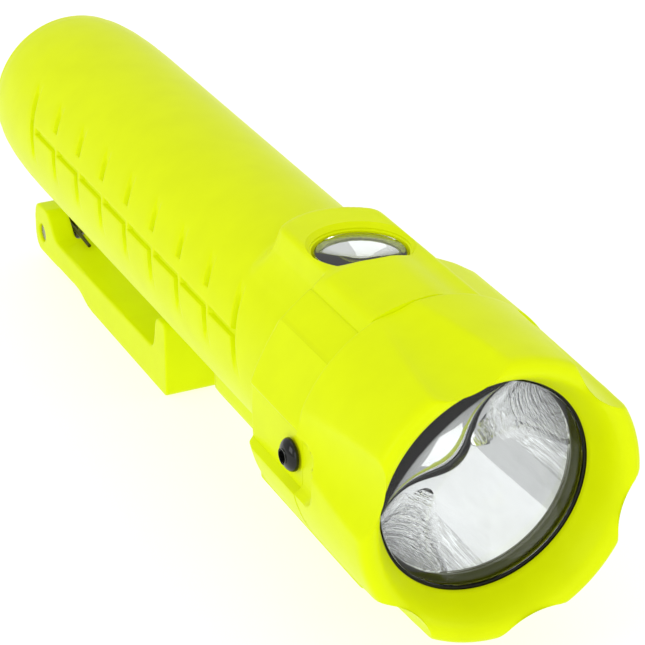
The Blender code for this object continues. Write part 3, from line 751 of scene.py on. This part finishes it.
# --- clip lever
def clip_outline():
    """The lever's side outline in (station, height): knuckle, inner face, tooth, front and outer flat."""
    flat = -AXIS_Z / MM
    knuckle = [(0.1, -23.4), (0.6, -21.6), (1.4, -20.7), (2.4, -20.3), (4.5, -20.2), (6.9, -20.2),
               (7.9, -20.5), (8.7, -21.2)]
    inside = [(11.0, -23.7), (12.2, -24.6), (14.0, -24.9), (62.6, -24.2), (63.5, -23.7), (64.0, -22.8),
              (65.0, -18.6), (65.5, -17.6), (66.4, -17.1), (69.2, -17.0), (69.9, -17.8)]
    outside = [(69.9, flat + 0.8), (69.1, flat), (31.0, flat), (29.4, flat + 0.12), (27.6, -30.95),
               (25.4, -30.15), (23.6, -29.85), (22.0, -29.8), (3.4, -30.4), (2.0, -30.2), (1.0, -29.5),
               (0.4, -28.6), (0.1, -27.4)]
    return knuckle + inside + outside


def make_clip():
    clip = scene_settings("clip")
    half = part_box("clip_lever")[1].x / MM
    piece = solid("clip_shell", prism(clip_outline(), -half, half))
    fork = [(-8, -45), (PIN_S + 8.4, -45), (PIN_S + 8.4, -10), (-8, -10)]
    hollow = [(0, 60), (18.3, 60), (18.3, 75), (0, 75)]
    bore = arc((PIN_S, PIN_UP), PIN_R + 0.3, 0, 360, 48)[:-1]
    cut(piece, [solid("fork", prism(fork, -6.0, 6.0)), solid("bowl", turned_bmesh(hollow, 128)),
                solid("bore", prism(bore, -12, 12))])
    grain = piece.modifiers.new("grain", "REMESH")
    grain.mode, grain.voxel_size, grain.use_smooth_shade = "VOXEL", clip.grain, True
    ease = piece.modifiers.new("ease", "SMOOTH")
    ease.factor, ease.iterations = 0.5, 9
    bake(piece)
    low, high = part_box("clip_lever")
    for vertex in piece.data.vertices:
        vertex.co = [min(max(c, a), b) for c, a, b in zip(vertex.co, low, high)]
    piece.data.shade_smooth()
    stand_for(piece, "clip_lever", polymer_look("moulded_clip_polymer"))


# --- finishes of the shells, bowls and lenses
# Place of the stippled band on the bowl: its turn from upright, and its offset and half width in metres.
STIPPLE_ANGLE, STIPPLE_CENTRE, STIPPLE_REACH = math.radians(41), 0.0042, 0.0055
STIPPLE_WANDER, STIPPLE_FADE = 0.002, 0.0008


def polymer_look(name):
    """Moulded high-visibility polymer: satin skin, faint mottling, very fine mould texture, and an even
    emission that is a painted glow lifting and warming the shaded sides.
    """
    shell = scene_settings("shell")
    base = tuple(shell.colour)
    # Painted glow: an even emission over the whole shell that lifts and warms its shaded sides
    look, tree, shader = new_look(name, base, shell.roughness, Emission_Strength=shell.painted_glow_strength, IOR=1.5,
                                  Specular_IOR_Level=0.07)
    shader.inputs["Emission Color"].default_value = (*shell.painted_glow_colour, 1)
    mottle(tree, shader, noise(tree, 160, 3), tone(base, 0.975), tone(base, 1.02))
    grain = noise(tree, 5200, 2)
    skin = grain.outputs["Fac"]
    spread(tree, skin, shell.roughness - 0.04, shell.roughness + 0.05, shader.inputs["Roughness"])
    bump(tree, shader, skin, 0.22, 0.00001)
    return look


def mirror_look(name, stippled=False):
    """Vacuum-metallised bowl; a band across it can carry the hammered stipple that breaks up the beam."""
    mirror = tuple(scene_settings("lamp").mirror)
    look, tree, shader = new_look(name, mirror, 0.03, 1.0)
    haze = noise(tree, 300, 3)
    mottle(tree, shader, haze, tone(mirror, 0.96), mirror)
    spread(tree, haze.outputs["Fac"], 0.02, 0.045, shader.inputs["Roughness"])
    if not stippled:
        bump(tree, shader, haze.outputs["Fac"], 0.15, 0.00004)
        return look
    cells = noise(tree, 1900, 4)
    waves = noise(tree, 90, 1)
    where = add_node(tree, "TexCoord")
    centred = add_node(tree, "VectorMath", operation="SUBTRACT")
    centred.inputs[1].default_value = (0, 0, AXIS_Z)
    side = add_node(tree, "VectorMath", operation="DOT_PRODUCT")
    side.inputs[1].default_value = (-math.sin(STIPPLE_ANGLE), 0, math.cos(STIPPLE_ANGLE))
    tree.links.new(where.outputs["Object"], centred.inputs[0])
    tree.links.new(centred.outputs["Vector"], side.inputs[0])
    from_middle = maths(tree, "ABSOLUTE", maths(tree, "ADD", side.outputs["Value"], STIPPLE_CENTRE))
    ragged = maths(tree, "MULTIPLY_ADD", waves.outputs["Fac"], STIPPLE_WANDER, from_middle)
    height = add_node(tree, "Math", operation="MULTIPLY")
    tree.links.new(cells.outputs["Fac"], height.inputs[0])
    spread(tree, ragged, 1.0, 0.0, height.inputs[1], STIPPLE_REACH, STIPPLE_REACH + STIPPLE_FADE)
    bump(tree, shader, height.outputs["Value"], 0.9, 0.00035)
    return look


def clear_look(name):
    """Polished clear polycarbonate."""
    lamp = scene_settings("lamp")
    look, tree, shader = new_look(name, tuple(lamp.lens_colour), 0.0, Transmission_Weight=1.0, IOR=1.45)
    wear = noise(tree, 700, 3)
    spread(tree, wear.outputs["Fac"], 0.0, 0.02, shader.inputs["Roughness"], 0.45, 0.8)
    return look


def rubber_look(name, roughness=0.32):
    lamp = scene_settings("lamp")
    return simple_look(name, tuple(lamp.rubber), roughness, scale=2600, vary=0.3, relief=0.00003,
                       Specular_IOR_Level=0.3)


# --- main lamp
def make_lamp():
    lamp, bezel = scene_settings("lamp"), scene_settings("bezel")
    opening = bezel.opening_radius / MM
    lens_r = opening - 0.35
    back, front = LENS_BACK, LENS_FRONT
    lens = [(0, front), (lens_r - 0.35, front)] + arc((lens_r - 0.35, front - 0.35), 0.35, 60, 0, 3) + \
        [(lens_r, back + 0.3), (lens_r - 0.3, back), (0, back)]
    stand_for(turned("front_lens_disc", lens, 128, look=clear_look("clear_polycarbonate")), "front_lens")
    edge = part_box("lens_gasket")[1].x / MM
    rear = station(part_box("lens_gasket")[1].y)
    inner = opening - 0.2
    ridges = []
    for i in range(3):
        level = back + 0.25 + i * 0.85
        ridges += [(inner, level), (inner - 0.12, level + 0.2), (inner - 0.12, level + 0.5),
                   (inner, level + 0.66)]
    seat = [(15.72, rear), (15.72, rear + 0.9), (15.9, rear + 1.2), (16.3, back - 0.4), (16.7, back - 0.3),
            (inner - 0.2, back - 0.2)]
    gasket = seat + ridges + [(inner, front + 0.1), (edge, front + 0.1), (edge, rear)]
    stand_for(turned("lens_seal", gasket, 160, look=rubber_look("black_seal_rubber"), sharp=30),
              "lens_gasket")

    low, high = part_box("reflector")
    focus = lamp.focus / MM
    hole, mouth, flange = 3.8, 15.4, (high.x - low.x) / 2 / MM
    top = station(low.y)
    vertex = top - mouth * mouth / (4 * focus)
    radii = np.linspace(hole, mouth, 40)
    bowl = [(r, vertex + r * r / (4 * focus)) for r in radii]
    rim = [(mouth + 0.12, top - 0.02), (mouth + 0.22, top), (flange, top), (flange, top - 0.9),
           (mouth + 1.1, top - 0.9)]
    skin = [(r + 0.9, vertex + r * r / (4 * focus) - 0.5) for r in radii[-2::-3]]
    stand_for(turned("reflector_bowl", bowl + rim + skin, 160, sharp=35,
                     look=mirror_look("metallised_bowl", stippled=True)), "reflector")

    phosphor = tuple(lamp.phosphor)
    led, tree, shader = new_look("led_phosphor", phosphor, 0.12, Coat_Weight=0.6, Coat_Roughness=0.05)
    cells = noise(tree, 9000, 2)
    mottle(tree, shader, cells, tone(phosphor, 0.85), phosphor)
    bump(tree, shader, cells.outputs["Fac"], 0.2, 0.00001)
    low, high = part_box("led_emitter")
    base, tip = station(high.y), station(low.y)
    dome = [(0, tip)] + [(r, tip - 1.3 + h) for r, h in arc((0, 0), 1.3, 82, 0, 10)]
    dome += [(1.5, tip - 1.35), (2.0, tip - 1.4), (2.0, base), (0, base)]
    stand_for(turned("led_dome", dome, 48, look=led), "led_emitter")
    dress("flood_led", led)
    dress("led_board", simple_look("white_solder_mask", (0.80, 0.80, 0.78), 0.4, scale=3500, vary=0.05))
    dress("heat_sink", simple_look("turned_aluminium", (0.62, 0.62, 0.64), 0.3, 1.0, scale=1200, vary=0.08,
                                   stretch=(1, 0.05, 1)))
    dress("neck_o_ring", rubber_look("o_ring_rubber"))


# --- flood lamp
def make_flood():
    clear = clear_look("clear_window")
    low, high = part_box("flood_lens")
    r = (high.x - low.x) / 2 / MM
    bottom, top = ((v.z - AXIS_Z) / MM for v in (low, high))
    lens = [(0, bottom), (r - 0.2, bottom), (r, bottom + 0.2), (r, top - 0.45)] + \
        arc((r - 0.4, top - 0.42), 0.4, 10, 90, 6) + [(0, top)]
    stand_for(turned("flood_window", lens, 96, "up", (0, WINDOW_S), clear), "flood_lens")
    low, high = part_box("flood_reflector")
    bottom, top = ((v.z - AXIS_Z) / MM for v in (low, high))
    dish = [(2.6, bottom + 0.2)] + [(2.6 + 3.9 * t, bottom + 0.2 + (top - bottom - 0.2) * t ** 1.6)
                                    for t in np.linspace(0.08, 1, 14)]
    dish += [(7.2, top), (7.25, top - 0.3), (6.6, top - 0.45), (3.2, bottom), (2.6, bottom)]
    stand_for(turned("flood_dish", dish, 96, "up", (0, WINDOW_S), mirror_look("metallised_dish")),
              "flood_reflector")
    dress("flood_gasket", simple_look("flood_seal_silicone", (0.5, 0.58, 0.06), 0.4, scale=2400, vary=0.3))
    dress("flood_board", simple_look("flood_solder_mask", (0.015, 0.02, 0.018), 0.35, scale=3000, vary=0.3))


# --- lock screw
def make_screw():
    low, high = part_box("lock_screw")
    top, tip = -low.x / MM, -high.x / MM
    radius = (high.z - low.z) / 2 / MM
    base = POCKET_FLOOR + 0.3
    rise = top - base
    dome = [(radius * math.cos(t), base + 0.25 + (rise - 0.25) * math.sin(t))
            for t in np.linspace(0, 1.05, 12)]
    rim = radius * math.cos(1.05)
    land = [(rim - 0.12, top - 0.02 * rise), (1.32, top - 0.03), (1.25, top - 0.12)]
    shank = [(0, top - 0.12), (0, tip), (1.3, tip), (1.5, tip + 0.3)]
    outline = [(1.5, base), (radius - 0.15, base), (radius, base + 0.12)] + dome + land + shank
    head = solid("lock_screw_head", turned_bmesh(outline, 72, "left", (0, SCREW_S)))
    corner_r = 1.15
    socket = arc((0, 0), corner_r, 90, -270, 6)[:-1]
    work = bmesh.new()
    floor, above = [[work.verts.new(place(-level, a, SCREW_S + b)) for a, b in socket]
                    for level in (top - 1.15, top + 1)]
    work.faces.new(floor)
    work.faces.new(above[::-1])
    for i in range(6):
        j = (i + 1) % 6
        work.faces.new((floor[i], floor[j], above[j], above[i]))
    cut(head, [solid("socket", work)])
    look = simple_look("black_screw", (0.006, 0.006, 0.006), 0.1, scale=1500, vary=0.3, relief=0.000008,
                       Specular_IOR_Level=0.35)
    stand_for(smooth(head, 32), "lock_screw", look)


# --- switch and cells
def make_switch():
    low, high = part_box("switch_boot")
    face, flange = station(high.y), (high.x - low.x) / 2 / MM
    body_r = 7.6
    inner = station(low.y)
    cap = [(0, face + 0.45), (2.0, face + 0.42), (3.6, face + 0.2)]
    for i in range(2):
        r = 3.9 + i * 1.3
        cap += [(r, face + 0.15), (r + 0.25, face), (r + 0.65, face), (r + 0.9, face + 0.15)]
    cap += [(6.7, face + 0.25)] + arc((body_r - 0.8, face + 1.1), 0.8, -85, 0, 8)
    outline = cap + [(body_r, inner - 1.3), (body_r + 0.1, inner - 1.2), (flange, inner - 1.2),
                     (flange, inner), (0, inner)]
    stand_for(turned("switch_cap", outline, 96, look=rubber_look("boot_rubber", 0.5)), "switch_boot")
    moulded = simple_look("black_moulding", (0.03, 0.03, 0.032), 0.45, scale=1800, vary=0.2)
    for node in ("switch_module", "switch_ring", "battery_carrier"):
        dress(node, moulded)


def make_cells():
    sleeve, tree, shader = new_look("cell_sleeve", (0.06, 0.06, 0.07), 0.25, 0.6)
    where = add_node(tree, "TexCoord")
    split = add_node(tree, "SeparateXYZ")
    tree.links.new(where.outputs["Object"], split.inputs["Vector"])
    half_cell = 0.026
    band = maths(tree, "PINGPONG", split.outputs["Y"], half_cell)
    fit = add_node(tree, "MapRange")
    fit.inputs["From Max"].default_value = half_cell
    tree.links.new(band, fit.inputs["Value"])
    ramp = shades(tree, fit.outputs["Result"], ((0.0, (0.05, 0.05, 0.06)), (0.7, (0.55, 0.30, 0.12))),
                  shader.inputs["Base Color"])
    ramp.color_ramp.interpolation = "CONSTANT"
    bump(tree, shader, noise(tree, 900, 2).outputs["Fac"], 0.1, 0.00002)
    for number in range(1, 5):
        dress(f"cell_{number}", sleeve)
    dress("circuit_board", simple_look("green_solder_mask", (0.012, 0.16, 0.05), 0.35, scale=2600, vary=0.35))


# --- stage
CAMERA_PLACE, CAMERA_SHIFT, SENSOR_WIDTH = (-0.1596, -0.3697, 0.2222), (-0.0290, -0.0289), 36.0
FLOOR_SIZE, FLOOR_DROP, FLOOR_GLOW, SKY_STRENGTH, LIGHT_REACH = 6.0, 0.0002, 0.66, 0.75, 1.6
# Name, azimuth and elevation in degrees, width in metres and power in watts of each soft light.
LIGHTS = (("key", -80, 30, 0.9, 6.0), ("front", -10, 12, 1.4, 6.5), ("side", 70, 20, 1.0, 3.0),
          ("top", 180, 75, 1.0, 1.5))


def heading(azimuth, elevation):
    """Direction from the object, with azimuth 0 in front of the lens."""
    level = math.cos(elevation)
    return Vector((math.sin(azimuth) * level, -math.cos(azimuth) * level, math.sin(elevation)))


def make_stage():
    stage = scene_settings("stage")
    work = bmesh.new()
    bmesh.ops.create_grid(work, x_segments=1, y_segments=1, size=FLOOR_SIZE)
    mesh = bpy.data.meshes.new("studio_floor")
    work.to_mesh(mesh)
    work.free()
    floor = new_object("studio_floor", mesh)
    look = simple_look("pale_floor", tuple(stage.floor), 0.6, scale=3, vary=0.01, relief=0.0)
    shader = look.node_tree.nodes["Principled BSDF"]
    shader.inputs["Emission Color"].default_value = (1, 1, 1, 1)
    shader.inputs["Emission Strength"].default_value = FLOOR_GLOW
    mesh.materials.append(look)
    floor.location.z = CAD_BOX[0][2] - FLOOR_DROP

    world = bpy.data.worlds.new("studio_sky")
    world.use_nodes = True
    bpy.context.scene.world = world
    sky = world.node_tree.nodes["Background"]
    sky.inputs["Strength"].default_value = SKY_STRENGTH
    sky.inputs["Color"].default_value = (1, 1, 1, 1)

    low, high = CAD_BOX
    middle = Vector(((low[0] + high[0]) / 2, (low[1] + high[1]) / 2, AXIS_Z))
    for name, azimuth, elevation, size, power in LIGHTS:
        light = bpy.data.lights.new(name, "AREA")
        light.size, light.energy = size, power
        lamp = new_object(name, light)
        lamp.location = middle + LIGHT_REACH * heading(math.radians(azimuth), math.radians(elevation))
        lamp.rotation_euler = (middle - lamp.location).to_track_quat("-Z", "Y").to_euler()

    camera = bpy.data.cameras.new("camera")
    camera.lens, camera.sensor_width = stage.lens, SENSOR_WIDTH
    camera.shift_x, camera.shift_y = CAMERA_SHIFT
    eye = new_object("camera", camera)
    back = heading(stage.azimuth, stage.elevation)
    right = Vector((math.cos(stage.azimuth), math.sin(stage.azimuth), 0))
    eye.rotation_euler = Matrix((right, back.cross(right), back)).transposed().to_euler()
    eye.location = CAMERA_PLACE
    bpy.context.scene.camera = eye
    bpy.context.scene.view_settings.view_transform = "Standard"


# --- operators, panel and run
class FLASHLIGHT_OT_body(bpy.types.Operator):
    """Build the moulded tube with its grip slots, collar, window platform, keel and pivot lug"""
    bl_idname = "flashlight.body"
    bl_label = "Build body"

    def execute(self, context):
        make_body()
        return {"FINISHED"}


class FLASHLIGHT_OT_bezel(bpy.types.Operator):
    """Build the screw-on bezel with its scalloped rim and lens opening"""
    bl_idname = "flashlight.bezel"
    bl_label = "Build bezel"

    def execute(self, context):
        make_bezel()
        return {"FINISHED"}


class FLASHLIGHT_OT_lamp(bpy.types.Operator):
    """Build the front lens, its seal, the reflector and the LED"""
    bl_idname = "flashlight.lamp"
    bl_label = "Build main lamp"

    def execute(self, context):
        make_lamp()
        return {"FINISHED"}


class FLASHLIGHT_OT_flood(bpy.types.Operator):
    """Build the side flood window and its dish"""
    bl_idname = "flashlight.flood"
    bl_label = "Build flood lamp"

    def execute(self, context):
        make_flood()
        return {"FINISHED"}


class FLASHLIGHT_OT_clip(bpy.types.Operator):
    """Build the sprung belt clip"""
    bl_idname = "flashlight.clip"
    bl_label = "Build clip"

    def execute(self, context):
        make_clip()
        return {"FINISHED"}


class FLASHLIGHT_OT_springs(bpy.types.Operator):
    """Build the clip and tail springs and finish the pin and contact plates"""
    bl_idname = "flashlight.springs"
    bl_label = "Build springs"

    def execute(self, context):
        make_springs()
        return {"FINISHED"}


class FLASHLIGHT_OT_wires(bpy.types.Operator):
    """Build the four internal leads"""
    bl_idname = "flashlight.wires"
    bl_label = "Build leads"

    def execute(self, context):
        make_wires()
        return {"FINISHED"}


class FLASHLIGHT_OT_screw(bpy.types.Operator):
    """Build the domed lock screw with its hex socket"""
    bl_idname = "flashlight.screw"
    bl_label = "Build lock screw"

    def execute(self, context):
        make_screw()
        return {"FINISHED"}


class FLASHLIGHT_OT_switch(bpy.types.Operator):
    """Build the rubber switch boot and finish the switch module"""
    bl_idname = "flashlight.switch"
    bl_label = "Build switch"

    def execute(self, context):
        make_switch()
        return {"FINISHED"}


class FLASHLIGHT_OT_cells(bpy.types.Operator):
    """Finish the cells and the circuit board"""
    bl_idname = "flashlight.cells"
    bl_label = "Finish cells"

    def execute(self, context):
        make_cells()
        return {"FINISHED"}


class FLASHLIGHT_OT_stage(bpy.types.Operator):
    """Set up the floor, the soft studio light and the camera"""
    bl_idname = "flashlight.stage"
    bl_label = "Set stage"

    def execute(self, context):
        make_stage()
        return {"FINISHED"}


class FLASHLIGHT_PT_panel(bpy.types.Panel):
    """Sizes, colours and build steps of the flashlight"""
    bl_idname = "FLASHLIGHT_PT_panel"
    bl_label = "Flashlight"
    bl_space_type = "VIEW_3D"
    bl_region_type = "UI"
    bl_category = "Flashlight"

    def draw(self, context):
        for name in SETTINGS:
            box = self.layout.box()
            settings = scene_settings(name)
            for key in settings.bl_rna.properties.keys():
                if key not in ("rna_type", "name"):
                    box.prop(settings, key)
        for operator in OPERATORS:
            self.layout.operator(operator.bl_idname)


SETTINGS = {"shell": ShellSettings, "bezel": BezelSettings, "lamp": LampSettings, "clip": ClipSettings,
            "stage": StageSettings}
OPERATORS = (FLASHLIGHT_OT_body, FLASHLIGHT_OT_bezel, FLASHLIGHT_OT_lamp, FLASHLIGHT_OT_flood,
             FLASHLIGHT_OT_clip, FLASHLIGHT_OT_springs, FLASHLIGHT_OT_wires, FLASHLIGHT_OT_screw,
             FLASHLIGHT_OT_switch, FLASHLIGHT_OT_cells, FLASHLIGHT_OT_stage)


def register():
    for group in (*SETTINGS.values(), *OPERATORS, FLASHLIGHT_PT_panel):
        bpy.utils.register_class(group)
    for name, group in SETTINGS.items():
        setattr(bpy.types.Scene, "flashlight_" + name, PointerProperty(type=group))


def unregister():
    for name in SETTINGS:
        delattr(bpy.types.Scene, "flashlight_" + name)
    for group in (FLASHLIGHT_PT_panel, *reversed(OPERATORS), *reversed(SETTINGS.values())):
        bpy.utils.unregister_class(group)


def main():
    register()
    for operator in OPERATORS:
        section, name = operator.bl_idname.split(".")
        getattr(getattr(bpy.ops, section), name)()


if __name__ == "__main__":
    main()
